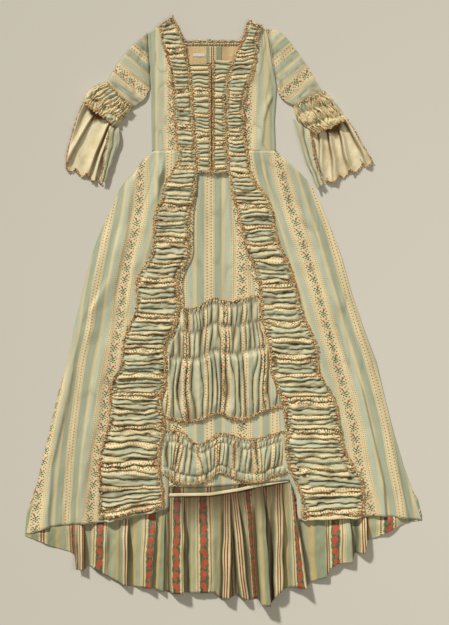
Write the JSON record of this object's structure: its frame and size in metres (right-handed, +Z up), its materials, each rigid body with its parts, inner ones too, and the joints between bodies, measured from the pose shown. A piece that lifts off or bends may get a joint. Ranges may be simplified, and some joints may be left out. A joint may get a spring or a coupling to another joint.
{
  "type": "robe a la francaise",
  "caption": "Open-fronted court gown with matching petticoat, laid flat on its back: ruched front bands, closed bodice, elbow sleeves with flared ruffles, gathered flounces and a folded train.",
  "frame": {"origin": "centre of the footprint, on the surface the gown lies on", "axes": "+Y towards the neck, +X to the viewer's right with the front uppermost, +Z up from the surface"},
  "size_m": [1.1511, 1.702, 0.0332],
  "materials": {
    "silk": "striped and flowered silk, soft sheen",
    "silk_wrong_side": "wrong side of the same silk, with dark floats",
    "ruched_silk": "the same silk gathered",
    "braid": "knotted silk fly braid, matt",
    "linen": "plain linen, matt",
    "tape": "plain cotton tape, matt"
  },
  "bodies": {
    "root": {"back_and_train": "silk_wrong_side", "back_lining": "linen", "bodice_front_left": "silk", "bodice_front_right": "silk", "box_pleat_left": "silk", "box_pleat_right": "silk", "compere_braid_left": "braid", "compere_braid_right": "braid", "compere_left": "ruched_silk", "compere_right": "ruched_silk", "cuff_left": "ruched_silk", "cuff_right": "ruched_silk", "lining_strip": "silk_wrong_side", "lower_flounce": "ruched_silk", "lower_flounce_braid": "braid", "neck_tape": "tape", "neck_trimming": "braid", "petticoat_back": "silk_wrong_side", "petticoat_front": "silk", "petticoat_hem_tape": "linen", "robing_braid_inner_left": "braid", "robing_braid_inner_right": "braid", "robing_braid_outer_left": "braid", "robing_braid_outer_right": "braid", "robing_left": "ruched_silk", "robing_right": "ruched_silk", "ruffle_front_left": "silk", "ruffle_front_right": "silk", "skirt_front_left": "silk", "skirt_front_right": "silk", "sleeve_left": "silk", "sleeve_right": "silk", "sleeve_ruffle_left": "linen", "sleeve_ruffle_right": "linen", "upper_flounce": "ruched_silk", "upper_flounce_braid": "braid"}
  },
  "joints": []
}
